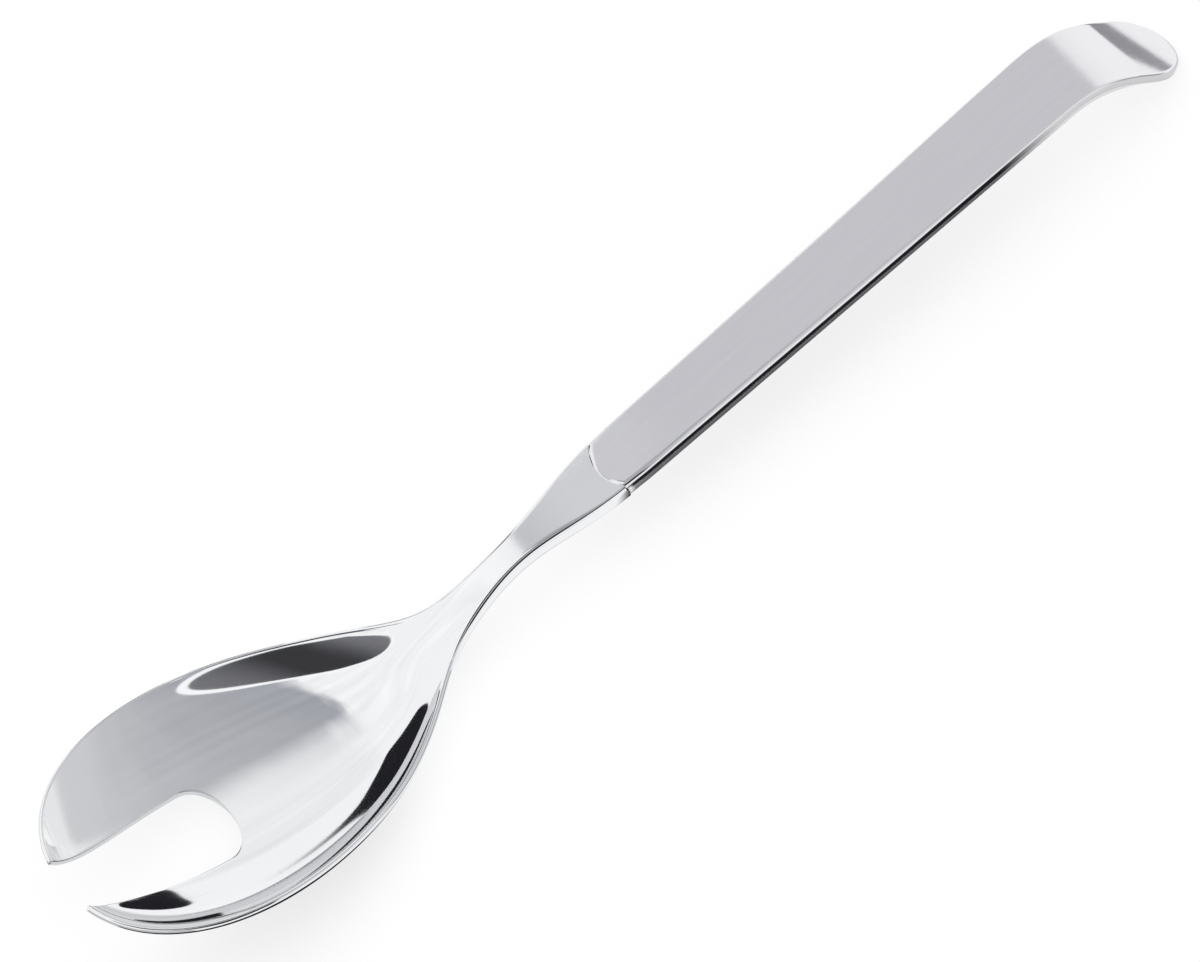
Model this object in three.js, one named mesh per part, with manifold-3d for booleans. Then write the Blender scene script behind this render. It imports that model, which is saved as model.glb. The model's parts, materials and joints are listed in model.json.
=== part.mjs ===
// Serving fork: a polished head with a dished bowl and two tines, set into a hollow satin handle
// that ends in a hook for the rim of a dish.
// Millimetres. X runs from the tines to the hook, Y across, Z up.
// The shapes are drawn square to the flat face of the handle: X = 0 at the foremost point of the
// handle and Z = 0 on its face. At the end the fork is laid on its belly and the tip of its hook.
import * as THREE from "three";
import { mergeVertices } from "three/addons/utils/BufferGeometryUtils.js";
import Module from "manifold-3d";

const wasm = await Module();
wasm.setup();
const { smoothstep, smootherstep, lerp, degToRad } = THREE.MathUtils;

// Head in plan. The bowl runs out softly round the core of the neck.
const HEAD_LENGTH = 125.8;
const BOWL_LENGTH = 81.2;
const BOWL_WIDTH = 60.8;
const WIDEST_FROM_FRONT = 31.5;
const FRONT_FULLNESS = 0.445;
const BOWL_RUN_OUT = 7.7;
const NECK_CORE = 5;
const FLARE_START = 30.7;
const FLARE_LENGTH = 37.8;

// Head in side view.
const NECK_STEP = 0.3;
const NECK_DROP = 5.2;
const DROP_START = 11.5;
const DROP_END = 59;
const RIM_SLOPE = 0.283;
const RIM_HINGE = 63.3;
const RIM_SWEEP = 7.7;
const BOWL_DEPTH = 7.5;
const BOWL_FLATNESS = 2.6;
const DISH_END = 23;
const DISH_FADE = 36;
const BOWL_GAUGE = 1.3;
const BOLSTER_START = 66;

// Slot between the tines.
const SLOT_MOUTH = 14.1;
const SLOT_WIDTH = 20.6;
const SLOT_LENGTH = 31.9;
const SLOT_ROUND = 5.4;
const SLOT_MOUTH_EASE = 0.26;
const SLOT_ROOT_EASE = 0.45;

// Handle.
const MOUTH_WIDTH = 14.4;
const MOUTH_BULGE = 2.6;
const MOUTH_BEVEL = 0.45;
const HOOK_WIDTH = 18.2;
const HANDLE_STRAIGHT = 109;
const BEND_LENGTH = 21;
const HOOK_ANGLE = degToRad(47.5);
const HOOK_TAIL = 11.1;
const HANDLE_DEPTH = 4.1;
const HOOK_DEPTH = 3.4;
const TIP_DEPTH = 2;
const BACK_SQUARENESS = 4;
const EDGE_RADIUS = 0.65;
const SHELL_GAUGE = 0.5;
const SEAM_DEPTH = 1.15;
const WELD_HEIGHT = 0.4;

// Tang and the resin that holds it.
const TANG_LENGTH = 62;
const TANG_WIDTH = 7.6;
const TANG_THICKNESS = 1.1;
const TANG_DEPTH = 0.95;
const TANG_ROOT = 8;
const NOTCH_RADIUS = 1.1;
const NOTCH_COUNT = 3;
const RESIN_SETBACK = 1;
const RESIN_OVERRUN = 8;

// Fits.
const MOUTH_GAP = 0.15;
const CORNER_GAP = 0.3;
const WELD_GAP = 0.06;
const RESIN_GAP = 0.1;

// Number of facets.
const BOWL_ROWS = 34;
const NECK_ROWS = 12;
const HEAD_COLUMNS = 22;
const GRIP_ROWS = 5;
const BEND_ROWS = 10;
const BEND_STEPS = 24;
const TIP_ROWS = 9;
const EDGE_COLUMNS = 3;
const BACK_COLUMNS = 16;
const RESIN_ROWS = 6;
const RESIN_COLUMNS = 14;
const ARC_SIDES = 96;
const NOTCH_SIDES = 12;

// Triangles of a grid of points, closed into a solid with a second grid on its other side.
// Rows run along X and columns along Y, so that the first grid faces up.
function sheet(upper, lower, closedTip = false) {
  const rows = upper.length;
  const columns = upper[0].length;
  const points = [...upper.flat(), ...lower.flat()];
  const triangles = [];
  const at = (i, j) => i * columns + j;
  const under = (i, j) => rows * columns + at(i, j);
  const quad = (a, b, c, d) => triangles.push(a, b, c, a, c, d);
  for (let i = 0; i < rows - 1; i++) {
    for (let j = 0; j < columns - 1; j++) {
      quad(at(i, j), at(i + 1, j), at(i + 1, j + 1), at(i, j + 1));
      quad(under(i, j), under(i, j + 1), under(i + 1, j + 1), under(i + 1, j));
    }
    const last = columns - 1;
    quad(at(i, 0), under(i, 0), under(i + 1, 0), at(i + 1, 0));
    quad(at(i, last), at(i + 1, last), under(i + 1, last), under(i, last));
  }
  for (let j = 0; j < columns - 1; j++) {
    quad(at(0, j), at(0, j + 1), under(0, j + 1), under(0, j));
    if (!closedTip) {
      const end = rows - 1;
      quad(at(end, j), under(end, j), under(end, j + 1), at(end, j + 1));
    }
  }
  const geometry = new THREE.BufferGeometry().setFromPoints(points);
  geometry.setIndex(triangles);
  return solid(geometry);
}

// A closed geometry as a body that can be joined and cut.
function solid(geometry) {
  const bare = geometry.clone();
  bare.deleteAttribute("normal");
  bare.deleteAttribute("uv");
  const merged = mergeVertices(bare, 1e-4);
  const corners = merged.index.array;
  const kept = [];
  for (let i = 0; i < corners.length; i += 3) {
    const [a, b, c] = [corners[i], corners[i + 1], corners[i + 2]];
    if (a !== b && b !== c && c !== a) {
      kept.push(a, b, c);
    }
  }
  const mesh = new wasm.Mesh({
    numProp: 3,
    vertProperties: merged.attributes.position.array,
    triVerts: new Uint32Array(kept),
  });
  return new wasm.Manifold(mesh);
}

// A plan outline raised between two heights.
function prism(shape, bottom, top) {
  const options = { depth: top - bottom, bevelEnabled: false };
  return solid(new THREE.ExtrudeGeometry(shape, options).translate(0, 0, bottom));
}

// Where the bowl ends, where the bend of the hook ends and where its full-round tip begins.
const bowlEnd = BOWL_LENGTH - HEAD_LENGTH;
const bendEnd = HANDLE_STRAIGHT + BEND_LENGTH;
const tipCentre = bendEnd + HOOK_TAIL - HOOK_WIDTH / 2;

const steps = (count) => Array.from({ length: count + 1 }, (_, i) => i / count);

// Half-width of the bowl: a round front and a long taper that runs out softly along the neck.
function bowlHalf(x) {
  const ahead = Math.max(0, x + HEAD_LENGTH);
  const behind = BOWL_LENGTH - ahead;
  const runOut = (behind + Math.hypot(behind, BOWL_RUN_OUT)) / 2;
  const taper = FRONT_FULLNESS * (BOWL_LENGTH / WIDEST_FROM_FRONT - 1);
  const front = (ahead / WIDEST_FROM_FRONT) ** FRONT_FULLNESS;
  const back = (runOut / (BOWL_LENGTH - WIDEST_FROM_FRONT)) ** taper;
  return (BOWL_WIDTH / 2) * front * back;
}

// Half-width of the core of the neck and of the handle that it runs into.
function gripHalf(x) {
  const flare = smootherstep(x, -FLARE_START, FLARE_LENGTH - FLARE_START);
  const along = THREE.MathUtils.clamp(x / HANDLE_STRAIGHT, 0, 1);
  return lerp(NECK_CORE, lerp(MOUTH_WIDTH, HOOK_WIDTH, along), flare) / 2;
}

// Half-width of the whole head.
function headHalf(x) {
  return Math.hypot(bowlHalf(x), gripHalf(x));
}

// Depth of the handle from its face to the crown of its back.
function handleDepth(s) {
  const along = THREE.MathUtils.clamp(s / HANDLE_STRAIGHT, 0, 1);
  const thin = smootherstep(s, (HANDLE_STRAIGHT + bendEnd) / 2, tipCentre);
  return lerp(lerp(HANDLE_DEPTH, HOOK_DEPTH, along), TIP_DEPTH, thin);
}

// Height of the rim: level at the handle, down to the back of the bowl, then up to the tines.
function rimHeight(x) {
  const ahead = -RIM_HINGE - x;
  const rise = (Math.hypot(ahead, RIM_SWEEP) + ahead) / 2;
  return -NECK_STEP - NECK_DROP * smootherstep(-x, DROP_START, DROP_END) + RIM_SLOPE * rise;
}

// Upper face of the head at v = -1 to 1 across its width. The dish runs out softly into the neck.
function headFace(x, v) {
  const fade = smootherstep(-DISH_END - x, 0, DISH_FADE);
  const dish = (fade * BOWL_DEPTH * bowlHalf(x)) / (BOWL_WIDTH / 2);
  const height = rimHeight(x) - dish * (1 - Math.abs(v) ** BOWL_FLATNESS);
  return new THREE.Vector3(x, v * headHalf(x), height);
}

// Thickness of the head: plain sheet at the bowl, the full section of the handle at its mouth.
function headThickness(x, v) {
  const round = Math.max(0, 1 - Math.abs(v) ** BACK_SQUARENESS) ** (1 / BACK_SQUARENESS);
  const bolster = SEAM_DEPTH - NECK_STEP + (HANDLE_DEPTH - SEAM_DEPTH) * round;
  return lerp(BOWL_GAUGE, bolster, smootherstep(x, -BOLSTER_START, 0));
}

function headBack(x, v) {
  const step = 0.02;
  const inside = Math.max(x, step - HEAD_LENGTH);
  const along = headFace(inside + step, v).sub(headFace(inside, v));
  const across = headFace(inside, v + step).sub(headFace(inside, v - step));
  const normal = along.cross(across).normalize();
  return headFace(x, v).addScaledVector(normal, -headThickness(x, v));
}

// The slot: curved sides that open out to a round root.
function slotShape() {
  const front = -HEAD_LENGTH;
  const middle = front + SLOT_LENGTH - SLOT_ROUND;
  const easeOut = front + SLOT_MOUTH_EASE * (middle - front);
  const easeIn = middle - SLOT_ROOT_EASE * (middle - front);
  const narrow = SLOT_MOUTH / 2;
  const wide = SLOT_WIDTH / 2;
  const outside = front - narrow;
  const shape = new THREE.Shape();
  shape.moveTo(outside, -narrow);
  shape.lineTo(front, -narrow);
  shape.bezierCurveTo(easeOut, -narrow, easeIn, -wide, middle, -wide);
  shape.absellipse(middle, 0, SLOT_ROUND, wide, -Math.PI / 2, Math.PI / 2, false, 0);
  shape.bezierCurveTo(easeIn, wide, easeOut, narrow, front, narrow);
  shape.lineTo(outside, narrow);
  return shape;
}

// The tang: a flat tongue with round notches in its edges for the resin to key into.
function tang(gap) {
  const half = TANG_WIDTH / 2 + gap;
  const end = TANG_LENGTH + gap;
  const shape = new THREE.Shape();
  shape.moveTo(-TANG_ROOT, -half);
  shape.lineTo(end - half, -half);
  shape.absarc(end - half, 0, half, -Math.PI / 2, Math.PI / 2, false);
  shape.lineTo(-TANG_ROOT, half);
  const top = gap - TANG_DEPTH;
  const bottom = -TANG_DEPTH - TANG_THICKNESS - gap;
  let body = prism(shape, bottom, top);
  for (let k = 1; k <= NOTCH_COUNT; k++) {
    const x = (k * TANG_LENGTH) / (NOTCH_COUNT + 1);
    for (const side of [-1, 1]) {
      const radius = NOTCH_RADIUS - gap;
      const notch = new THREE.CylinderGeometry(radius, radius, 4 * TANG_THICKNESS, NOTCH_SIDES);
      notch.rotateX(Math.PI / 2).translate(x, (side * TANG_WIDTH) / 2, -TANG_DEPTH);
      body = body.subtract(solid(notch));
    }
  }
  return body;
}

// The mouth of the handle is an arc seen from above.
const mouthRadius = ((MOUTH_WIDTH / 2) ** 2 + MOUTH_BULGE ** 2) / (2 * MOUTH_BULGE);

function mouthRound(radius) {
  const round = new THREE.CylinderGeometry(radius, radius, 2 * MOUTH_WIDTH, ARC_SIDES);
  return solid(round.rotateX(Math.PI / 2).translate(mouthRadius, 0, 0));
}

function mouthFront() {
  const size = 2 * MOUTH_WIDTH;
  const block = new THREE.BoxGeometry(size, size, size);
  return solid(block.translate(mouthRadius - size / 2, 0, 0));
}

function mouthBevel() {
  const inner = mouthRadius - 2 * MOUTH_BEVEL;
  const outer = mouthRadius + MOUTH_BEVEL;
  const profile = [
    new THREE.Vector2(inner, MOUTH_BEVEL),
    new THREE.Vector2(outer, -2 * MOUTH_BEVEL),
    new THREE.Vector2(outer, MOUTH_BEVEL),
    new THREE.Vector2(inner, MOUTH_BEVEL),
  ];
  const ring = new THREE.LatheGeometry(profile, ARC_SIDES);
  const placed = solid(ring.rotateX(Math.PI / 2).translate(mouthRadius, 0, 0));
  return placed.intersect(mouthFront());
}

function forkHead() {
  const neckEnd = MOUTH_BULGE - CORNER_GAP;
  const bowlAt = (t) => -HEAD_LENGTH + (BOWL_LENGTH * (1 - Math.cos(Math.PI * t))) / 2;
  const neckAt = (t) => lerp(bowlEnd, neckEnd, t);
  const stations = [...steps(BOWL_ROWS).map(bowlAt), ...steps(NECK_ROWS).slice(1).map(neckAt)];
  const across = steps(HEAD_COLUMNS).map((t) => 2 * t - 1);
  const face = stations.map((x) => across.map((v) => headFace(x, v)));
  const back = stations.map((x) => across.map((v) => headBack(x, v)));
  return sheet(face, back)
    .subtract(prism(slotShape(), -HEAD_LENGTH, HEAD_LENGTH))
    .subtract(mouthRound(mouthRadius + MOUTH_GAP))
    .add(tang(0));
}

// How far the face has turned down at s: the bend tightens and opens out again without a crease.
function bendAngle(s) {
  return HOOK_ANGLE * smoothstep(s, HANDLE_STRAIGHT, bendEnd);
}

// A point of the handle, s along the face and z square to it, carried round the bend of the hook.
function bent(s, y, z) {
  const straight = Math.min(s, HANDLE_STRAIGHT);
  const stride = (s - straight) / BEND_STEPS;
  const point = new THREE.Vector3(straight, y, 0);
  for (let k = 0; k < BEND_STEPS; k++) {
    const heading = bendAngle(straight + (k + 0.5) * stride);
    point.x += stride * Math.cos(heading);
    point.z -= stride * Math.sin(heading);
  }
  point.x += z * Math.sin(bendAngle(s));
  point.z += z * Math.cos(bendAngle(s));
  return point;
}

// Rows along the handle: from just before the mouth, which is cut afterwards, through the flare,
// along the grip, round the bend, then fanned round the full-round tip.
function handleRows() {
  const flareEnd = FLARE_LENGTH - FLARE_START;
  const rows = [-MOUTH_BEVEL, flareEnd / 2, flareEnd];
  rows.push(...steps(GRIP_ROWS).slice(1).map((t) => lerp(flareEnd, HANDLE_STRAIGHT, t)));
  rows.push(...steps(BEND_ROWS).slice(1, -1).map((t) => lerp(HANDLE_STRAIGHT, tipCentre, t)));
  const square = rows.map((s) => ({ s, fan: 0 }));
  const fans = steps(TIP_ROWS).map((t) => ({ s: tipCentre, fan: (Math.PI / 2) * t }));
  return [...square, ...fans];
}

// A point of a row at its distance from the middle line (side is -1 or 1) and its depth.
function handlePoint(row, side, distance, depth) {
  const s = row.s + distance * Math.sin(row.fan);
  return bent(s, side * distance * Math.cos(row.fan), -depth);
}

// Section of the upper shell: side wall, rounded edge and flat face.
function faceGrid(rows, inset) {
  const radius = EDGE_RADIUS - inset;
  const edge = steps(EDGE_COLUMNS).map((t) => {
    const turn = (Math.PI / 2) * t;
    return [EDGE_RADIUS - radius * Math.cos(turn), EDGE_RADIUS - radius * Math.sin(turn)];
  });
  const half = [[inset, SEAM_DEPTH], ...edge];
  return rows.map((row) => {
    const width = gripHalf(row.s);
    const left = half.map(([step, depth]) => handlePoint(row, -1, width - step, depth));
    const right = half.map(([step, depth]) => handlePoint(row, 1, width - step, depth));
    return [...left, ...right.reverse()];
  });
}

// Section of the lower shell: a squared oval from seam to seam.
const backEdge = SEAM_DEPTH + WELD_HEIGHT + 2 * WELD_GAP;
function backGrid(rows, inset) {
  const root = (value) => Math.abs(value) ** (2 / BACK_SQUARENESS);
  const turns = steps(BACK_COLUMNS).map((t) => Math.PI * t);
  return rows.map((row) => {
    const width = gripHalf(row.s) - inset;
    const drop = handleDepth(row.s) - inset - backEdge;
    return turns.map((turn) => {
      const side = Math.cos(turn) > 0 ? -1 : 1;
      const depth = backEdge + drop * root(Math.sin(turn));
      return handlePoint(row, side, width * root(Math.cos(turn)), depth);
    });
  });
}

function handleMouth(shell) {
  const waste = mouthFront().subtract(mouthRound(mouthRadius));
  return shell.subtract(waste).subtract(mouthBevel());
}

function topShell() {
  const rows = handleRows();
  return handleMouth(sheet(faceGrid(rows, 0), faceGrid(rows, SHELL_GAUGE), true));
}

function bottomShell() {
  const rows = handleRows();
  return handleMouth(sheet(backGrid(rows, SHELL_GAUGE), backGrid(rows, 0), true));
}

// The weld that closes the seam between the shells, from one side of the mouth round to the other.
function seamWeld() {
  const there = handleRows();
  const back = there.slice(0, -1).reverse();
  const level = (depth) => {
    const strip = (side) => (row) =>
      [0, SHELL_GAUGE].map((inset) => handlePoint(row, side, gripHalf(row.s) - inset, depth));
    return [...there.map(strip(-1)), ...back.map(strip(1))];
  };
  const top = SEAM_DEPTH + WELD_GAP;
  return handleMouth(sheet(level(top), level(top + WELD_HEIGHT)));
}

// The resin round the tang, filling the front of the hollow.
function filler() {
  const inset = SHELL_GAUGE + RESIN_GAP;
  const start = MOUTH_BULGE + RESIN_SETBACK;
  const end = TANG_LENGTH + RESIN_OVERRUN;
  const across = steps(RESIN_COLUMNS).map((t) => 2 * t - 1);
  const grid = (depthAt) =>
    steps(RESIN_ROWS).map((t) => {
      const s = lerp(start, end, t);
      const width = gripHalf(s) - inset;
      return across.map((v) => new THREE.Vector3(s, v * width, -depthAt(s, v)));
    });
  const roof = grid(() => inset);
  const floor = grid((s, v) => {
    const round = Math.max(0, 1 - Math.abs(v) ** BACK_SQUARENESS) ** (1 / BACK_SQUARENESS);
    return backEdge + (handleDepth(s) - inset - backEdge) * round;
  });
  return sheet(roof, floor).subtract(tang(RESIN_GAP));
}

function piece(name, body, material) {
  const mesh = body.getMesh();
  const geometry = new THREE.BufferGeometry();
  geometry.setAttribute("position", new THREE.BufferAttribute(mesh.vertProperties, 3));
  geometry.setIndex(new THREE.BufferAttribute(mesh.triVerts, 1));
  geometry.computeVertexNormals();
  const made = new THREE.Mesh(geometry, new THREE.MeshStandardMaterial(material));
  made.name = name;
  return made;
}

const polished = { color: 0xd9dadc, roughness: 0.06, metalness: 1 };
const satin = { color: 0xc4c5c8, roughness: 0.32, metalness: 1 };
const weld = { color: 0xb4b5b8, roughness: 0.45, metalness: 1 };
const resin = { color: 0x9a948a, roughness: 0.9, metalness: 0 };

const fork = new THREE.Group();
fork.add(
  piece("fork_head", forkHead(), polished),
  piece("handle_top_shell", topShell(), satin),
  piece("handle_bottom_shell", bottomShell(), satin),
  piece("seam_weld", seamWeld(), weld),
  piece("handle_filler", filler(), resin),
);

// Lay the fork on the table: tip it until belly and hook are level, then bring it to the origin.
const LEVEL_ROUNDS = 8;
function lowest(mesh, tilt) {
  const turn = new THREE.Matrix4().makeRotationY(tilt);
  const points = mesh.geometry.attributes.position;
  const best = new THREE.Vector3(0, 0, Infinity);
  const point = new THREE.Vector3();
  for (let i = 0; i < points.count; i++) {
    point.fromBufferAttribute(points, i).applyMatrix4(turn);
    if (point.z < best.z) {
      best.copy(point);
    }
  }
  return best;
}

let tilt = 0;
for (let round = 0; round < LEVEL_ROUNDS; round++) {
  const belly = lowest(fork.getObjectByName("fork_head"), tilt);
  const hook = lowest(fork.getObjectByName("handle_bottom_shell"), tilt);
  tilt += Math.atan2(hook.z - belly.z, hook.x - belly.x);
}
fork.rotation.y = tilt;
fork.updateMatrixWorld(true);
const box = new THREE.Box3().setFromObject(fork, true);
const centre = box.getCenter(new THREE.Vector3());
fork.position.set(-centre.x, -centre.y, -box.min.z);

const part = new THREE.Group();
part.add(fork);
export default part;
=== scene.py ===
"""Serving fork in polished and satin steel, on a white table in soft studio light."""
import json
import math

import bmesh
import bpy
from mathutils import Matrix, Vector


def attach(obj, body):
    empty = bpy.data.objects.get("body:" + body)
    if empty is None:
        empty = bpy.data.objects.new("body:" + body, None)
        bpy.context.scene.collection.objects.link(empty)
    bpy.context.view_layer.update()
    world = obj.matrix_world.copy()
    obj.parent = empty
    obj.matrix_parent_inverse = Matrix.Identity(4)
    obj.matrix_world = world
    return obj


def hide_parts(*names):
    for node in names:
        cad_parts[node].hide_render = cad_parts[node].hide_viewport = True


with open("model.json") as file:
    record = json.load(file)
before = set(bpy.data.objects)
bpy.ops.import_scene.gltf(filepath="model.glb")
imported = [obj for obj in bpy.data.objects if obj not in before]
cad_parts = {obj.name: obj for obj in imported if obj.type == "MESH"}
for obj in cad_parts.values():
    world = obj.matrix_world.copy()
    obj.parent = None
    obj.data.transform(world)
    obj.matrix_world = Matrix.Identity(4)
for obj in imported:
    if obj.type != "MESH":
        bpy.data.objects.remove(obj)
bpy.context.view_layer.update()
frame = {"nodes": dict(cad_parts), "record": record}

# Sizes of the fork, in metres, square to the flat face of the handle: X = 0 at the foremost point
# of the handle and Z = 0 on its face, X towards the hook and Y across.
MM = 0.001
HEAD_LENGTH = 125.8 * MM
BOWL_LENGTH = 81.2 * MM
BOWL_WIDTH = 60.8 * MM
WIDEST_FROM_FRONT = 31.5 * MM
FRONT_FULLNESS = 0.445
BOWL_RUN_OUT = 7.7 * MM
NECK_CORE = 5 * MM
FLARE_START = 30.7 * MM
FLARE_LENGTH = 37.8 * MM

NECK_STEP = 0.3 * MM
NECK_DROP = 5.2 * MM
DROP_START = 11.5 * MM
DROP_END = 59 * MM
RIM_SLOPE = 0.283
RIM_HINGE = 63.3 * MM
RIM_SWEEP = 7.7 * MM
BOWL_DEPTH = 7.5 * MM
BOWL_FLATNESS = 2.6
DISH_END = 23 * MM
DISH_FADE = 36 * MM
BOWL_GAUGE = 1.3 * MM
BOLSTER_START = 66 * MM

SLOT_MOUTH = 14.1 * MM
SLOT_WIDTH = 20.6 * MM
SLOT_LENGTH = 31.9 * MM
SLOT_ROUND = 5.4 * MM
SLOT_MOUTH_EASE = 0.26
SLOT_ROOT_EASE = 0.45

MOUTH_WIDTH = 14.4 * MM
MOUTH_BULGE = 2.6 * MM
HOOK_WIDTH = 18.2 * MM
HANDLE_STRAIGHT = 109 * MM
BEND_LENGTH = 21 * MM
HOOK_ANGLE = math.radians(47.5)
HOOK_TAIL = 11.1 * MM
HANDLE_DEPTH = 4.1 * MM
HOOK_DEPTH = 3.4 * MM
TIP_DEPTH = 2 * MM
BACK_SQUARENESS = 4
EDGE_RADIUS = 1 * MM
HOOK_EDGE_RADIUS = 0.55 * MM
SHELL_GAUGE = 0.5 * MM
SEAM_DEPTH = 1.15 * MM
WELD_HEIGHT = 0.4 * MM

# Finish of the edges: how far an edge rounds in from the outline, and how square it stays.
RIM_ROUND = 0.6 * MM
SLOT_EDGE_ROUND = 0.15 * MM
NECK_ROUND = 1.3 * MM
MOUTH_EDGE_ROUND = 0.7 * MM
MOUTH_EDGE_FROM = -16 * MM
NECK_ROUND_FROM = -62 * MM
NECK_ROUND_TO = -38 * MM
RIM_SQUARENESS = 2.4
MOUTH_ROUND = 1.4 * MM
MOUTH_ROUND_DEPTH = 0.55 * MM
MOUTH_BLEND = 9 * MM
MOUTH_TUCK = 0.2 * MM

# Where the fork lies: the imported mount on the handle's face gives its place and its tilt.
FACE_MOUNT_AT = 60 * MM
mount = next(m for m in frame["record"]["mounts"] if m["name"] == "handle_face")
face_tilt = math.atan2(mount["axis"][0], mount["axis"][2])
place = (
    Matrix.Translation(mount["pos_m"])
    @ Matrix.Rotation(face_tilt, 4, "Y")
    @ Matrix.Translation((-FACE_MOUNT_AT, 0, 0))
)

bowl_end = BOWL_LENGTH - HEAD_LENGTH
bend_end = HANDLE_STRAIGHT + BEND_LENGTH
tip_centre = bend_end + HOOK_TAIL - HOOK_WIDTH / 2
mouth_radius = ((MOUTH_WIDTH / 2) ** 2 + MOUTH_BULGE**2) / (2 * MOUTH_BULGE)


def lerp(start, end, t):
    return start + (end - start) * t


def steps(count):
    return [i / count for i in range(count + 1)]


def smoothstep(value, low, high):
    t = min(max((value - low) / (high - low), 0), 1)
    return t * t * (3 - 2 * t)


def smootherstep(value, low, high):
    t = min(max((value - low) / (high - low), 0), 1)
    return t**3 * (t * (6 * t - 15) + 10)


def mouth_arc(y):
    """How far the mouth of the handle lies behind its foremost point."""
    return mouth_radius - math.sqrt(max(mouth_radius**2 - y * y, 0))


# Shape of the head. The steps are those by which slopes are taken.
SLOPE_STEP = 0.02 * MM
SLOT_STEP = 1e-4
TIP_HALVINGS = 40


def bowl_half(x):
    ahead = max(0, x + HEAD_LENGTH)
    behind = BOWL_LENGTH - ahead
    run_out = (behind + math.hypot(behind, BOWL_RUN_OUT)) / 2
    taper = FRONT_FULLNESS * (BOWL_LENGTH / WIDEST_FROM_FRONT - 1)
    front = (ahead / WIDEST_FROM_FRONT) ** FRONT_FULLNESS
    back = (run_out / (BOWL_LENGTH - WIDEST_FROM_FRONT)) ** taper
    return BOWL_WIDTH / 2 * front * back


def grip_half(x):
    flare = smootherstep(x, -FLARE_START, FLARE_LENGTH - FLARE_START)
    along = min(max(x / HANDLE_STRAIGHT, 0), 1)
    return lerp(NECK_CORE, lerp(MOUTH_WIDTH, HOOK_WIDTH, along), flare) / 2


def head_half(x):
    return math.hypot(bowl_half(x), grip_half(x))


def rim_height(x):
    ahead = -RIM_HINGE - x
    rise = (math.hypot(ahead, RIM_SWEEP) + ahead) / 2
    return -NECK_STEP - NECK_DROP * smootherstep(-x, DROP_START, DROP_END) + RIM_SLOPE * rise


def head_face(x, y):
    fade = smootherstep(-DISH_END - x, 0, DISH_FADE)
    dish = fade * BOWL_DEPTH * bowl_half(x) / (BOWL_WIDTH / 2)
    across = abs(y) / head_half(x)
    return Vector((x, y, rim_height(x) - dish * (1 - across**BOWL_FLATNESS)))


def head_normal(x, y):
    along = head_face(x + SLOPE_STEP, y) - head_face(x - SLOPE_STEP, y)
    across = head_face(x, y + SLOPE_STEP) - head_face(x, y - SLOPE_STEP)
    return along.cross(across).normalized()


def head_thickness(x, y):
    across = min(abs(y) / head_half(x), 1)
    crown = (1 - across**BACK_SQUARENESS) ** (1 / BACK_SQUARENESS)
    bolster = SEAM_DEPTH - NECK_STEP + (HANDLE_DEPTH - SEAM_DEPTH) * crown
    return lerp(BOWL_GAUGE, bolster, smootherstep(x, -BOLSTER_START, 0))


def edge_round(x):
    """How far the edge rounds in, thin round the bowl and fuller along the neck."""
    fuller = lerp(RIM_ROUND, NECK_ROUND, smootherstep(x, NECK_ROUND_FROM, NECK_ROUND_TO))
    return lerp(fuller, MOUTH_EDGE_ROUND, smootherstep(x, MOUTH_EDGE_FROM, 0))


def rim_limit(x):
    """Half-width at which the rounding of the rim begins."""
    slope = (head_half(x + SLOPE_STEP) - head_half(x - SLOPE_STEP)) / (2 * SLOPE_STEP)
    return head_half(x) - edge_round(x) * math.hypot(1, slope)


def slot_edge(t):
    """Slot's edge on the +Y side: t from 0 to 1 along the tine and from 1 to 2 round the root."""
    front = -HEAD_LENGTH
    middle = front + SLOT_LENGTH - SLOT_ROUND
    narrow, wide = SLOT_MOUTH / 2, SLOT_WIDTH / 2
    if t > 1:
        turn = (t - 1) * math.pi / 2
        return Vector((middle + SLOT_ROUND * math.sin(turn), wide * math.cos(turn)))
    corners = (
        Vector((front, narrow)),
        Vector((front + SLOT_MOUTH_EASE * (middle - front), narrow)),
        Vector((middle - SLOT_ROOT_EASE * (middle - front), wide)),
        Vector((middle, wide)),
    )
    weights = ((1 - t) ** 3, 3 * t * (1 - t) ** 2, 3 * t * t * (1 - t), t**3)
    return sum((c * w for c, w in zip(corners, weights)), Vector((0, 0)))


def slot_limit(t):
    """Where the rounding of the slot's edge begins."""
    ahead = slot_edge(t + SLOT_STEP) - slot_edge(t - SLOT_STEP)
    inward = Vector((-ahead.y, ahead.x)).normalized()
    return slot_edge(t) + SLOT_EDGE_ROUND * inward


def tine_tip():
    """Place along the slot where its edge meets the rim, found by halving."""
    low, high = 0.0, 0.5
    for _ in range(TIP_HALVINGS):
        middle = (low + high) / 2
        point = slot_limit(middle)
        if point.y > rim_limit(point.x):
            low = middle
        else:
            high = middle
    return high


# Shape of the handle.
BEND_STEPS = 24


def handle_depth(s):
    along = min(max(s / HANDLE_STRAIGHT, 0), 1)
    thin = smootherstep(s, (HANDLE_STRAIGHT + bend_end) / 2, tip_centre)
    return lerp(lerp(HANDLE_DEPTH, HOOK_DEPTH, along), TIP_DEPTH, thin)


def edge_radius(s):
    """Rounding along the edges of the face, crisper towards the hook."""
    crisp = smootherstep(s, HANDLE_STRAIGHT / 2, HANDLE_STRAIGHT)
    return lerp(EDGE_RADIUS, HOOK_EDGE_RADIUS, crisp)


def bend_angle(s):
    return HOOK_ANGLE * smoothstep(s, HANDLE_STRAIGHT, bend_end)


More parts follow.
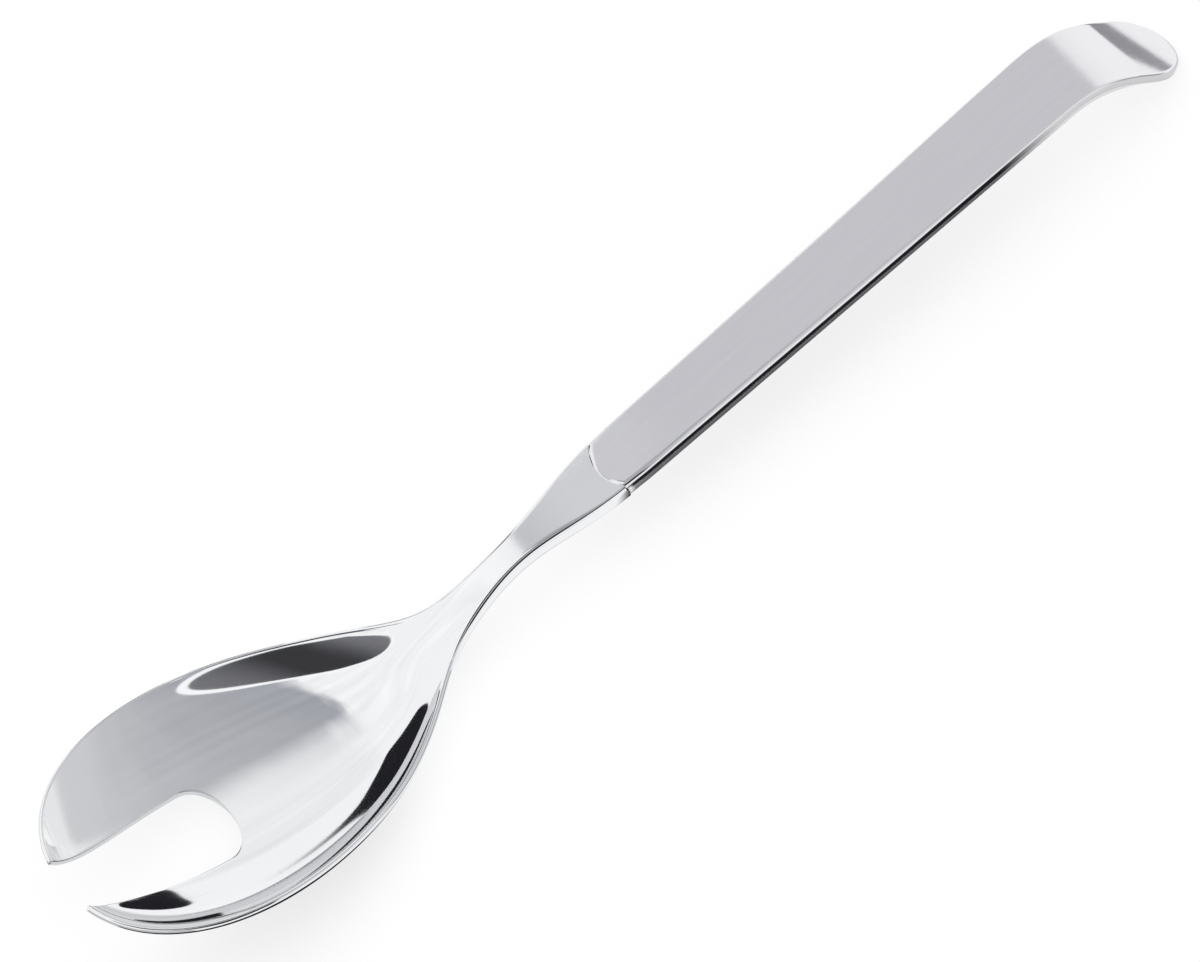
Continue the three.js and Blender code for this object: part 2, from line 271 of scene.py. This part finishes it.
def bent(s, y, z):
    """A point s along the face and z square to it, carried round the bend of the hook."""
    straight = min(s, HANDLE_STRAIGHT)
    stride = (s - straight) / BEND_STEPS
    point = Vector((straight, y, 0))
    for k in range(BEND_STEPS):
        heading = bend_angle(straight + (k + 0.5) * stride)
        point += Vector((stride * math.cos(heading), 0, -stride * math.sin(heading)))
    angle = bend_angle(s)
    return point + Vector((z * math.sin(angle), 0, z * math.cos(angle)))


# Surfaces are gathered grid by grid and welded where they meet.
WELD_DISTANCE = 1e-6
SHARP_ANGLE = math.radians(50)


class Surface:
    def __init__(self):
        self.points = []
        self.faces = []

    def grid(self, rows):
        start = len(self.points)
        columns = len(rows[0])
        for row in rows:
            self.points.extend(row)
        for i in range(len(rows) - 1):
            for j in range(columns - 1):
                corner = start + i * columns + j
                self.faces.append((corner, corner + 1, corner + columns + 1, corner + columns))

    def polygon(self, points):
        start = len(self.points)
        self.points.extend(points)
        self.faces.append(tuple(range(start, len(self.points))))

    def piece(self, name, material, slot, *nodes):
        mesh = bpy.data.meshes.new(name)
        mesh.from_pydata([place @ point for point in self.points], [], self.faces)
        shell = bmesh.new()
        shell.from_mesh(mesh)
        bmesh.ops.remove_doubles(shell, verts=shell.verts, dist=WELD_DISTANCE)
        bmesh.ops.dissolve_degenerate(shell, edges=shell.edges, dist=WELD_DISTANCE)
        bmesh.ops.recalc_face_normals(shell, faces=shell.faces)
        shell.to_mesh(mesh)
        shell.free()
        mesh.shade_smooth()
        mesh.set_sharp_from_angle(angle=SHARP_ANGLE)
        made = bpy.data.objects.new(name, mesh)
        bpy.context.scene.collection.objects.link(made)
        made.data.materials.append(material)
        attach(made, "root")
        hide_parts(*nodes)
        return made


# Materials.
RELIEF_DEPTH = 0.02 * MM


def new_material(name):
    material = bpy.data.materials.new(name)
    material.use_nodes = True
    nodes = material.node_tree.nodes
    return material, nodes, material.node_tree.links, nodes["Principled BSDF"]


def stretched_noise(nodes, links, scale, stretch, detail=4):
    """Noise drawn out along the fork, in the object's own coordinates."""
    coordinates = nodes.new("ShaderNodeTexCoord")
    mapping = nodes.new("ShaderNodeMapping")
    mapping.inputs["Scale"].default_value = stretch
    noise = nodes.new("ShaderNodeTexNoise")
    noise.inputs["Scale"].default_value = scale
    noise.inputs["Detail"].default_value = detail
    links.new(coordinates.outputs["Object"], mapping.inputs["Vector"])
    links.new(mapping.outputs["Vector"], noise.inputs["Vector"])
    return noise.outputs["Fac"]


def ranged(nodes, links, value, low, high):
    """A 0 to 1 value spread over another range."""
    spread = nodes.new("ShaderNodeMapRange")
    spread.inputs["To Min"].default_value = low
    spread.inputs["To Max"].default_value = high
    links.new(value, spread.inputs["Value"])
    return spread.outputs["Result"]


def tinted(nodes, links, factor, dark, light):
    """A colour between a dark and a light one."""
    tint = nodes.new("ShaderNodeMix")
    tint.data_type = "RGBA"
    tint.inputs["A"].default_value = (*dark, 1)
    tint.inputs["B"].default_value = (*light, 1)
    links.new(factor, tint.inputs["Factor"])
    return tint.outputs["Result"]


def steel(name, tints, gloss, grain, bump):
    """Steel whose tint and gloss vary a little along fine lines of its polish."""
    material, nodes, links, shader = new_material(name)
    lines = stretched_noise(nodes, links, *grain)
    links.new(tinted(nodes, links, lines, *tints), shader.inputs["Base Color"])
    links.new(ranged(nodes, links, lines, *gloss), shader.inputs["Roughness"])
    shader.inputs["Metallic"].default_value = 1
    relief = nodes.new("ShaderNodeBump")
    relief.inputs["Strength"].default_value = bump
    relief.inputs["Distance"].default_value = RELIEF_DEPTH
    links.new(lines, relief.inputs["Height"])
    links.new(relief.outputs["Normal"], shader.inputs["Normal"])
    return material


def polished_steel():
    tints = (0.63, 0.635, 0.65), (0.66, 0.665, 0.675)
    grain = 60, (1, 2.5, 2.5)
    return steel("polished_steel", tints, gloss=(0.03, 0.05), grain=grain, bump=0.02)


def satin_steel():
    tints = (0.585, 0.585, 0.605), (0.625, 0.625, 0.64)
    grain = 900, (0.06, 1, 1)
    return steel("satin_steel", tints, gloss=(0.05, 0.085), grain=grain, bump=0.03)


def weld_steel():
    tints = (0.54, 0.54, 0.555), (0.6, 0.6, 0.615)
    grain = 1500, (0.3, 1, 1)
    return steel("weld_steel", tints, gloss=(0.09, 0.15), grain=grain, bump=0.06)


def set_resin():
    material, nodes, links, shader = new_material("set_resin")
    grains = stretched_noise(nodes, links, 700, (1, 1, 1))
    colour = tinted(nodes, links, grains, (0.5, 0.48, 0.44), (0.62, 0.6, 0.56))
    links.new(colour, shader.inputs["Base Color"])
    shader.inputs["Roughness"].default_value = 0.8
    return material


# The head: two half domains from the slot and the centre line out to the rim.
TINE_ROWS = 90
ROOT_ROWS = 50
FLOOR_ROWS = 150
NECK_ROWS = 80
HEAD_COLUMNS = 48
ROOT_CROWDING = 1.6
RIM_CROWDING = 1.5
RIM_STEPS = 12
TIP_TURNS = 16


def head_rows():
    """(x, half-width of the opening) of each row from the tip of the tine to the handle."""
    tip = tine_tip()
    along_slot = [lerp(tip, 1, t) for t in steps(TINE_ROWS)]
    along_slot += [1 + t for t in steps(ROOT_ROWS)[1:]]
    rows = [slot_limit(t) for t in along_slot]
    rows[-1].y = 0
    root = rows[-1].x
    floor = [t**ROOT_CROWDING for t in steps(FLOOR_ROWS)[1:]]
    rows += [Vector((lerp(root, bowl_end, t), 0)) for t in floor]
    rows += [Vector((lerp(bowl_end, MOUTH_TUCK, t), 0)) for t in steps(NECK_ROWS)[1:]]
    return rows


def head_point(row, t):
    """Plan point of a row at t, from 0 on its inner to 1 on its outer end.

    The last rows follow the arc of the mouth.
    """
    arc_share = smootherstep(row.x, -MOUTH_BLEND, MOUTH_TUCK)
    y = lerp(row.y, rim_limit(row.x), t)
    x = row.x + arc_share * mouth_arc(y)
    return x, lerp(row.y, rim_limit(x), t)


def rim_profile(top, bottom, outward, reach):
    """Rounded edge from the upper to the lower face."""
    middle = (top + bottom) / 2
    half = (top - bottom) / 2
    profile = []
    for t in steps(RIM_STEPS):
        turn = math.pi / 2 - math.pi * t
        up = math.copysign(abs(math.sin(turn)) ** (2 / RIM_SQUARENESS), math.sin(turn))
        out = abs(math.cos(turn)) ** (2 / RIM_SQUARENESS)
        profile.append(middle + half * up + outward * (reach * out))
    return profile


def add_half_head(surface, side):
    rows = head_rows()
    columns = [1 - (1 - t) ** RIM_CROWDING for t in steps(HEAD_COLUMNS)]
    plan = [[head_point(row, t) for t in columns] for row in rows]
    upper = []
    lower = []
    normals = []
    for row in plan:
        face = [head_face(x, side * y) for x, y in row]
        normal = [head_normal(x, side * y) for x, y in row]
        depth = [head_thickness(x, y) for x, y in row]
        upper.append(face)
        lower.append([p - n * d for p, n, d in zip(face, normal, depth)])
        normals.append(normal)
    surface.grid(upper)
    surface.grid(lower)
    surface.grid([upper[-1], lower[-1]])

    def outline(column, order, reach):
        points = [upper[i][column] for i in order]
        strips = []
        for k, i in enumerate(order):
            ahead = points[min(k + 1, len(points) - 1)] - points[max(k - 1, 0)]
            outward = ahead.cross(normals[i][column]).normalized() * side
            strips.append((upper[i][column], lower[i][column], outward, reach(plan[i][column][0])))
        return strips

    last_slot_row = TINE_ROWS + ROOT_ROWS
    rim = outline(-1, list(range(len(rows) - 1, 0, -1)), edge_round)
    slot = outline(0, list(range(1, last_slot_row + 1)), lambda x: SLOT_EDGE_ROUND)
    # At the root both halves share one edge.
    slot[-1][2].y = 0
    turned = []
    for t in steps(TIP_TURNS):
        outward = rim[-1][2].slerp(slot[0][2], t)
        turned.append((upper[0][0], lower[0][0], outward, lerp(RIM_ROUND, SLOT_EDGE_ROUND, t)))
    surface.grid([rim_profile(*edge) for edge in rim + turned + slot])
    # The rim's end at the mouth is closed.
    surface.polygon(rim_profile(*rim[0]))


def fork_head(material):
    surface = Surface()
    for side in (1, -1):
        add_half_head(surface, side)
    return surface.piece("fork_head_polished", material, "polished_steel", "fork_head")


# The handle: both shells run from the arc of the mouth round the hook to its full-round tip.
GRIP_ROWS = 60
BEND_ROWS = 48
TIP_ROWS = 40
EDGE_STEPS = 10
FACE_STEPS = 14
BACK_STEPS = 48
MOUTH_STEPS = 8
FACE_MARGIN = 0.3 * MM

# A row: its place along the face, its share of the mouth's arc and its turn round the tip.
MOUTH_ROW = (0, 1, 0)


def quarter(width, depth, count):
    """Steps of a rounded edge: distance in from the outline and depth under the face."""
    turns = [math.pi / 2 * t for t in steps(count)]
    return [(width * (1 - math.sin(a)), depth * (1 - math.cos(a))) for a in reversed(turns)]


def handle_rows():
    """Rows from the end of the mouth's rounding to the end of the tip."""
    grip = [lerp(MOUTH_ROUND, HANDLE_STRAIGHT, t) for t in steps(GRIP_ROWS)]
    bend = [lerp(HANDLE_STRAIGHT, tip_centre, t) for t in steps(BEND_ROWS)[1:-1]]
    rows = [(s, 1 - smootherstep(s, MOUTH_ROUND, MOUTH_BLEND), 0) for s in grip + bend]
    return rows + [(tip_centre, 0, math.pi / 2 * t) for t in steps(TIP_ROWS)]


def handle_point(row, side, distance, depth):
    s, arc_share, fan = row
    y = side * distance * math.cos(fan)
    return bent(s + arc_share * mouth_arc(y) + distance * math.sin(fan), y, -depth)


def top_section(row, inset, mouth_depth=0):
    """Side wall, rounded edge and flat face, from -Y to +Y."""
    radius = edge_radius(row[0])
    edge = quarter(radius - inset, radius - inset, EDGE_STEPS)
    half = [(inset, SEAM_DEPTH)]
    half += [(inset + step, max(inset + depth, mouth_depth)) for step, depth in edge]
    width = grip_half(row[0])
    flat = width - radius - FACE_MARGIN
    half += [(width - flat * (1 - t), max(inset, mouth_depth)) for t in steps(FACE_STEPS)]
    left = [handle_point(row, -1, width - step, depth) for step, depth in half]
    right = [handle_point(row, 1, width - step, depth) for step, depth in half[:-1]]
    return left + right[::-1]


def back_section(row, inset):
    """Squared oval from seam to seam."""
    width = grip_half(row[0]) - inset
    start = SEAM_DEPTH + WELD_HEIGHT
    drop = handle_depth(row[0]) - inset - start
    points = []
    for t in steps(BACK_STEPS):
        turn = math.pi * t
        side = -1 if t < 0.5 else 1
        out = abs(math.cos(turn)) ** (2 / BACK_SQUARENESS)
        down = math.sin(turn) ** (2 / BACK_SQUARENESS) if 0 < t < 1 else 0
        points.append(handle_point(row, side, width * out, start + drop * down))
    return points


def add_shell(surface, outer, inner):
    """A shell between two grids, closed along the seam and at the mouth."""
    surface.grid(outer)
    surface.grid(inner)
    surface.grid([outer[0], inner[0]])
    for column in (0, -1):
        surface.grid([[row[column] for row in outer], [row[column] for row in inner]])


def handle_top(material):
    rows = handle_rows()
    mouth = quarter(MOUTH_ROUND, MOUTH_ROUND_DEPTH, MOUTH_STEPS)[:-1]
    front = [(step, 1, 0) for step, _ in mouth]
    outer = [top_section(row, 0, depth) for row, (_, depth) in zip(front, mouth)]
    outer += [top_section(row, 0) for row in rows]
    inner = [top_section(row, SHELL_GAUGE) for row in front + rows]
    surface = Surface()
    add_shell(surface, outer, inner)
    return surface.piece("handle_top_satin", material, "satin_steel", "handle_top_shell")


def handle_bottom(material):
    rows = [MOUTH_ROW] + handle_rows()
    outer = [back_section(row, 0) for row in rows]
    inner = [back_section(row, SHELL_GAUGE) for row in rows]
    surface = Surface()
    add_shell(surface, outer, inner)
    return surface.piece("handle_bottom_satin", material, "satin_steel", "handle_bottom_shell")


def seam_strip(material):
    """The weld, ground flush with both shells, out along one side and back along the other."""
    rows = [MOUTH_ROW] + handle_rows()
    path = [(row, -1) for row in rows] + [(row, 1) for row in rows[-2::-1]]
    corners = ((0, 0), (0, WELD_HEIGHT), (SHELL_GAUGE, WELD_HEIGHT), (SHELL_GAUGE, 0), (0, 0))
    strip = []
    for row, side in path:
        width = grip_half(row[0])
        strip.append([handle_point(row, side, width - i, SEAM_DEPTH + d) for i, d in corners])
    surface = Surface()
    surface.grid(strip)
    for end in (strip[0], strip[-1]):
        surface.grid([[end[0], end[1]], [end[3], end[2]]])
    return surface.piece("seam_weld_flush", material, "weld_steel", "seam_weld")


fork_head(polished_steel())
handle_top(satin_steel())
# The lower shell takes the frame's own plain material of this name, not the one made above.
handle_bottom(bpy.data.materials["satin_steel"])
seam_strip(weld_steel())
filler = frame["nodes"]["handle_filler"]
filler.data.materials.clear()
filler.data.materials.append(set_resin())


# The table, the room and the cards that the steel mirrors.
def glow(name, colour, strength):
    material = bpy.data.materials.new(name)
    material.use_nodes = True
    nodes = material.node_tree.nodes
    nodes.clear()
    shader = nodes.new("ShaderNodeEmission")
    shader.inputs["Color"].default_value = (*colour, 1)
    shader.inputs["Strength"].default_value = strength
    output = nodes.new("ShaderNodeOutputMaterial")
    material.node_tree.links.new(shader.outputs["Emission"], output.inputs["Surface"])
    return material


def flat_mesh(name, points, material):
    mesh = bpy.data.meshes.new(name)
    mesh.from_pydata(points, [], [tuple(range(len(points)))])
    made = bpy.data.objects.new(name, mesh)
    made.data.materials.append(material)
    bpy.context.scene.collection.objects.link(made)
    return made


def card(name, points, colour, strength):
    """A panel of the studio that only reflections see."""
    made = flat_mesh(name, points, glow(name, colour, strength))
    made.visible_camera = False
    made.visible_diffuse = False
    made.visible_shadow = False
    return made


def overhead(x0, x1, y0, y1, z):
    return [(x0, y0, z), (x1, y0, z), (x1, y1, z), (x0, y1, z)]


def upright(x0, x1, y, z0, z1):
    return [(x0, y, z0), (x1, y, z0), (x1, y, z1), (x0, y, z1)]


def closed_curve(points, count=8):
    """Smooth closed curve through the points of a plane."""
    curve = []
    total = len(points)
    for i in range(total):
        a, b, c, d = (Vector(points[(i + k) % total]) for k in (-1, 0, 1, 2))
        for t in steps(count)[:-1]:
            bow = (2 * a - 5 * b + 4 * c - d) * t**2 + (3 * b - a - 3 * c + d) * t**3
            curve.append(b + ((c - a) * t + bow) / 2)
    return curve


def lying(curve, z):
    return [(p.x, p.y, z) for p in curve]


def standing(curve, y):
    return [(p.x, y, p.y) for p in curve]


FLOOR_REACH = 30
FLOOR_GLOW = 0.74
FLOOR_TINT = 0.3
HORIZON_GLOW = 0.52
ROOM_WHITE_FROM = 0.75


def white_floor():
    material, _, _, shader = new_material("white_table")
    shader.inputs["Base Color"].default_value = (FLOOR_TINT, FLOOR_TINT, FLOOR_TINT, 1)
    shader.inputs["Roughness"].default_value = 1
    shader.inputs["Specular IOR Level"].default_value = 0
    shader.inputs["Emission Color"].default_value = (1, 1, 1, 1)
    shader.inputs["Emission Strength"].default_value = FLOOR_GLOW
    reach = FLOOR_REACH
    return flat_mesh("table", overhead(-reach, reach, -reach, reach, 0), material)


def white_room():
    """White overhead, falling to a soft grey at the horizon."""
    world = bpy.data.worlds.new("white_room")
    world.use_nodes = True
    nodes, links = world.node_tree.nodes, world.node_tree.links
    nodes["Background"].inputs["Color"].default_value = (1, 1, 1, 1)
    coordinates = nodes.new("ShaderNodeTexCoord")
    parts = nodes.new("ShaderNodeSeparateXYZ")
    rise = nodes.new("ShaderNodeMapRange")
    rise.interpolation_type = "SMOOTHSTEP"
    rise.inputs["From Max"].default_value = ROOM_WHITE_FROM
    rise.inputs["To Min"].default_value = HORIZON_GLOW
    links.new(coordinates.outputs["Generated"], parts.inputs["Vector"])
    links.new(parts.outputs["Z"], rise.inputs["Value"])
    links.new(rise.outputs["Result"], nodes["Background"].inputs["Strength"])
    bpy.context.scene.world = world


FOLD_SCALE = 9
FOLD_STRETCH = (5, 1, 1)
STREAK_SCALE = 8
STREAK_STRETCH = (1, 5, 1)


def fade_mask(nodes, links, parts, fades):
    """The product of the fades of a panel."""
    mask = None
    for axis, edge, length in fades:
        ramp = nodes.new("ShaderNodeMapRange")
        ramp.interpolation_type = "SMOOTHSTEP"
        ramp.inputs["From Min"].default_value = edge
        ramp.inputs["From Max"].default_value = edge + length
        links.new(parts.outputs[axis], ramp.inputs["Value"])
        if mask is None:
            mask = ramp.outputs["Result"]
            continue
        product = nodes.new("ShaderNodeMath")
        product.operation = "MULTIPLY"
        links.new(mask, product.inputs[0])
        links.new(ramp.outputs["Result"], product.inputs[1])
        mask = product.outputs["Value"]
    return mask


def soft_card(name, points, colour, strength, fades, ripple=0, streaks=0):
    """A panel that fades in from each (axis, edge, length).

    It is nothing at the edge and full a length beyond it. The ripple shifts its edges by up to that
    length, in folds that run along Y like those of cloth. The streaks make it brighter and darker
    by up to that share, in bands that run along X.
    """
    made = card(name, points, colour, strength)
    nodes = made.data.materials[0].node_tree.nodes
    links = made.data.materials[0].node_tree.links
    coordinates = nodes.new("ShaderNodeTexCoord")
    parts = nodes.new("ShaderNodeSeparateXYZ")
    links.new(coordinates.outputs["Object"], parts.inputs["Vector"])
    if ripple:
        folds = stretched_noise(nodes, links, FOLD_SCALE, FOLD_STRETCH, detail=2)
        shift = nodes.new("ShaderNodeVectorMath")
        links.new(coordinates.outputs["Object"], shift.inputs[0])
        links.new(ranged(nodes, links, folds, -ripple, ripple), shift.inputs[1])
        links.new(shift.outputs["Vector"], parts.inputs["Vector"])
    if streaks:
        bands = stretched_noise(nodes, links, STREAK_SCALE, STREAK_STRETCH, detail=3)
        level = ranged(nodes, links, bands, strength * (1 - streaks), strength * (1 + streaks))
        links.new(level, nodes["Emission"].inputs["Strength"])
    mix = nodes.new("ShaderNodeMixShader")
    links.new(fade_mask(nodes, links, parts, fades), mix.inputs["Fac"])
    links.new(nodes.new("ShaderNodeBsdfTransparent").outputs["BSDF"], mix.inputs[1])
    links.new(nodes["Emission"].outputs["Emission"], mix.inputs[2])
    links.new(mix.outputs["Shader"], nodes["Material Output"].inputs["Surface"])
    return made


def soft_ceiling(name, box, z, colour, strength, lengths, ripple=0, streaks=0):
    """An overhead panel with four soft edges: low X, high X, low Y, high Y."""
    x0, x1, y0, y1 = box
    left, right, front, back = lengths
    fades = (("X", x0, left), ("X", x1, -right), ("Y", y0, front), ("Y", y1, -back))
    return soft_card(name, overhead(x0, x1, y0, y1, z), colour, strength, fades, ripple, streaks)


# Colours, strengths and heights of the cards, and the gap between cards that lie one under another.
WHITE = (1, 1, 1)
GREY = (0.54, 0.555, 0.595)
PALE = (0.9, 0.9, 0.92)
BLACK = (0.02, 0.02, 0.025)
DARK = (0.04, 0.04, 0.045)
OPENING_DARK = (0.06, 0.06, 0.065)
OPENING_PALE = (0.26, 0.26, 0.28)
NECK_GREY = (0.81, 0.81, 0.84)
MOUTH_GREY = (0.94, 0.94, 0.96)
GRIP_GREY = (0.88, 0.88, 0.91)
STRIP_GREY = (0.42, 0.42, 0.445)

BOX_GLOW = 1.35
FAR_BOX_GLOW = 1.25
TIP_BOX_GLOW = 1.2
FRAME_GLOW = 1.45
HOOK_GLOW = 1.38
BOX_STREAKS = 0.16
GREY_STREAKS = 0.2
GREY_RIPPLE = 0.02

BOX_HEIGHT = 0.25
NECK_CARD_HEIGHT = 0.025
NECK_PANEL_HEIGHT = 0.04
TABLE_CARD = 0.0004
LAYER = 0.001


def ceiling_boxes():
    """White soft boxes over the fork, with a pale and a grey panel let into them."""
    soft_ceiling(
        "soft_box", (-0.5, -0.02, -0.1, 0.42), BOX_HEIGHT, WHITE, BOX_GLOW,
        (0.05, 0.03, 0.02, 0.05), streaks=BOX_STREAKS,
    )
    soft_ceiling(
        "far_box", (-0.09, 0.75, 0.17, 0.5), BOX_HEIGHT - LAYER, WHITE, FAR_BOX_GLOW,
        (0.07, 0.1, 0.12, 0.05), streaks=BOX_STREAKS,
    )
    soft_ceiling(
        "tip_box", (0.2, 1.5, -0.2, 1), BOX_HEIGHT, WHITE, TIP_BOX_GLOW,
        (0.15, 0.3, 0.1, 0.2),
    )
    soft_ceiling(
        "pale_panel", (0, 0.28, -0.08, 0.2), BOX_HEIGHT - 2 * LAYER, PALE, 1,
        (0.08, 0.12, 0.04, 0.05),
    )
    soft_ceiling(
        "grey_panel", (-0.078, 0.13, -0.13, 0.228), BOX_HEIGHT - 3 * LAYER, GREY, 1,
        (0.022, 0.19, 0.04, 0.072), ripple=GREY_RIPPLE, streaks=GREY_STREAKS,
    )


def white_wall():
    """A wall beyond the fork, fading upwards and towards the hook."""
    end, top = 4, 1.6
    fades = ("X", end, -3.6), ("Z", top, -1)
    soft_card("white_wall", upright(-1.2, end, 0.9, 0, top), WHITE, BOX_GLOW, fades)


def ceiling_opening():
    """A dark opening in a white frame, lighter at both ends."""
    outline = closed_curve((
        (-0.0285, -0.042), (-0.055, 0.004), (-0.115, 0.038), (-0.19, 0.08),
        (-0.234, 0.09), (-0.26, 0.06), (-0.274, 0.004), (-0.265, -0.034),
        (-0.243, -0.052), (-0.155, -0.07), (-0.065, -0.066),
    ))
    middle = Vector((-0.15, 0))
    frame_width = 0.009
    frame_curve = [p + (p - middle).normalized() * frame_width for p in outline]
    top = BOX_HEIGHT - 4 * LAYER
    card("opening_frame", lying(frame_curve, top), WHITE, FRAME_GLOW)
    card("opening", lying(outline, top - LAYER), OPENING_DARK, 1)
    far_end, near_end = (("X", -0.15, -0.11),), (("X", -0.1, 0.07),)
    soft_card("opening_far_end", lying(outline, top - 2 * LAYER), OPENING_PALE, 1, far_end)
    soft_card("opening_near_end", lying(outline, top - 3 * LAYER), OPENING_PALE, 1, near_end)


def neck_card():
    """A low white card with one round corner, mirrored where the bowl runs into the neck."""
    outline = (
        (-0.05, 0.002), (-0.0713, 0.002), (-0.0714, 0.0098), (-0.0711, 0.0114),
        (-0.0705, 0.0127), (-0.0694, 0.0138), (-0.05, 0.0138),
    )
    card("neck_card", [(x, y, NECK_CARD_HEIGHT) for x, y in outline], WHITE, BOX_GLOW)


def side_flags():
    """Black flags beyond the bowl and a white card before them, mirrored in its near wall."""
    distance = 0.115
    tall = closed_curve((
        (-0.0741, 0), (-0.0714, 0.0108), (-0.0686, 0.0208), (-0.0667, 0.0265),
        (-0.0652, 0.036), (-0.066, 0.054), (-0.0755, 0.0685), (-0.092, 0.0605),
        (-0.1025, 0.048), (-0.1005, 0.02), (-0.09, 0),
    ))
    card("tall_flag", standing(tall, distance), BLACK, 1)
    foot = overhead(-0.09, -0.0741, 0.09, distance, TABLE_CARD)
    card("tall_flag_foot", foot, BLACK, 1)
    low = closed_curve((
        (-0.0585, 0.0315), (-0.053, 0.05), (-0.042, 0.0735), (-0.0365, 0.058),
        (-0.033, 0.043), (-0.038, 0.028), (-0.048, 0.0295),
    ))
    card("low_flag", standing(low, distance), BLACK, 1)
    card("shoulder_card", upright(-0.067, -0.053, 0.03, 0, 0.026), WHITE, BOX_GLOW)


def neck_panels():
    """Grey panels over the neck and the mouth of the handle."""
    soft_ceiling(
        "neck_panel", (-0.0312, -0.01, 0.015, 0.0295), NECK_PANEL_HEIGHT, NECK_GREY, 1,
        (0.006, 0.017, 0.0016, 0.0045),
    )
    soft_ceiling(
        "mouth_panel", (-0.03, 0.014, 0.015, 0.0315), NECK_PANEL_HEIGHT + LAYER, MOUTH_GREY, 1,
        (0.006, 0.014, 0.0016, 0.0045),
    )


def grip_panel():
    """Grey over the grip, inclined so that the tips of the tines see it edge-on."""
    tip_x, tip_z, incline = -0.125, 0.018, 0.3
    x0, x1, y0, y1 = -0.01, 0.28, 0.015, 0.15
    z0, z1 = (tip_z + incline * (x - tip_x) for x in (x0, x1))
    corners = [(x0, y0, z0), (x1, y0, z1), (x1, y1, z1), (x0, y1, z0)]
    fades = ("X", x0, 0.02), ("X", x1, -0.12), ("Y", y0, 0.01), ("Y", y1, -0.065)
    soft_card("grip_panel", corners, GRIP_GREY, 1, fades)


def viewer_side():
    """Dark overhead behind the viewer, over a white wall."""
    soft_ceiling(
        "dark_back", (-0.3, 0, -0.7, -0.11), BOX_HEIGHT, DARK, 1,
        (0.05, 0.03, 0.1, 0.02),
    )
    card("front_wall", upright(-0.5, 0.5, -0.5, 0, 0.3), WHITE, BOX_GLOW)


def table_cards():
    """Cards on the table: white before the bowl's run-out, and black under the grip and the rim as
    painted shade, standing in for the shaded table there, which only the steel's reflections see.
    """
    soft_ceiling(
        "front_table", (-0.07, 0.0, -0.2, -0.006), TABLE_CARD, WHITE, BOX_GLOW,
        (0.01, 0.003, 0.02, 0.001),
    )
    # Painted shade: a black sheet that only the steel's reflections see, standing in for the shaded
    # table under and beside the grip.
    soft_ceiling(
        "grip_shade_card", (-0.0065, 0.106, -0.06, 0.045), TABLE_CARD + LAYER / 10, BLACK, 1,
        (0.005, 0.016, 0.012, 0.01),
    )
    # Painted shade: a black sheet that only the steel's reflections see, standing in for the shaded
    # table under and in front of the bowl's near rim.
    soft_ceiling(
        "rim_shade_card", (-0.3, -0.068, -0.3, -0.005), TABLE_CARD + LAYER / 5, BLACK, 1,
        (0.05, 0.012, 0.05, 0.005),
    )


def hook_cards():
    """A grey strip before a white panel, which the tail of the hook mirrors."""
    ahead = Vector((0.766, 0.643, 0))
    aside = Vector((-ahead.y, ahead.x, 0))
    hook_middle = 0.0969
    strip_distance, table_distance, panel_distance = 0.05, 0.015, 0.1

    def facing(distance, corners):
        middle = ahead * (hook_middle + distance)
        return [middle + aside * w + Vector((0, 0, z)) for w, z in corners]

    strip = (-0.065, 0.0077), (-0.065, 0.0146), (-0.0885, 0.0022), (-0.0885, 0.0005)
    card("hook_strip", facing(strip_distance, strip), STRIP_GREY, 1)
    low, high, top = -0.14, -0.02, 0.115
    panel = (low, 0), (high, 0), (high, top), (low, top)
    fades = (("Z", top, -0.085),)
    soft_card("hook_panel", facing(panel_distance, panel), WHITE, HOOK_GLOW, fades)
    near = facing(table_distance, panel[:2])
    far = facing(panel_distance, panel[:2])
    lift = Vector((0, 0, TABLE_CARD))
    card("hook_table", [p + lift for p in near + far[::-1]], WHITE, HOOK_GLOW)


white_floor()
white_room()
ceiling_boxes()
white_wall()
ceiling_opening()
neck_card()
side_flags()
neck_panels()
grip_panel()
viewer_side()
table_cards()
hook_cards()

# The camera: square to the fork's length, leaning from the face's normal, rolled as in the photo.
PHOTO_WIDTH, PHOTO_HEIGHT = 1200, 962
PIXEL = 0.188 * MM
VIEW_LEAN = math.radians(40)
VIEW_ROLL = math.radians(41.16)
VIEW_DISTANCE = 5
FORK_PIXEL = Vector((596.3, 473.1))
SENSOR = 36
FAR_CLIP = 100


def photo_camera():
    toward = place.to_3x3() @ Vector((0, -math.sin(VIEW_LEAN), math.cos(VIEW_LEAN)))
    along = place.to_3x3() @ Vector((1, 0, 0))
    across = toward.cross(along)
    right = along * math.cos(VIEW_ROLL) - across * math.sin(VIEW_ROLL)
    up = along * math.sin(VIEW_ROLL) + across * math.cos(VIEW_ROLL)
    offset = Vector((PHOTO_WIDTH / 2, PHOTO_HEIGHT / 2)) - FORK_PIXEL
    target = place.translation + right * (offset.x * PIXEL) - up * (offset.y * PIXEL)
    camera = bpy.data.cameras.new("camera")
    camera.sensor_width = SENSOR
    camera.lens = SENSOR * VIEW_DISTANCE / (PHOTO_WIDTH * PIXEL)
    camera.clip_end = FAR_CLIP
    made = bpy.data.objects.new("camera", camera)
    turn = Matrix((right, up, toward)).transposed().to_4x4()
    made.matrix_world = Matrix.Translation(target + toward * VIEW_DISTANCE) @ turn
    bpy.context.scene.collection.objects.link(made)
    bpy.context.scene.camera = made


photo_camera()
bpy.context.scene.view_settings.view_transform = "Standard"
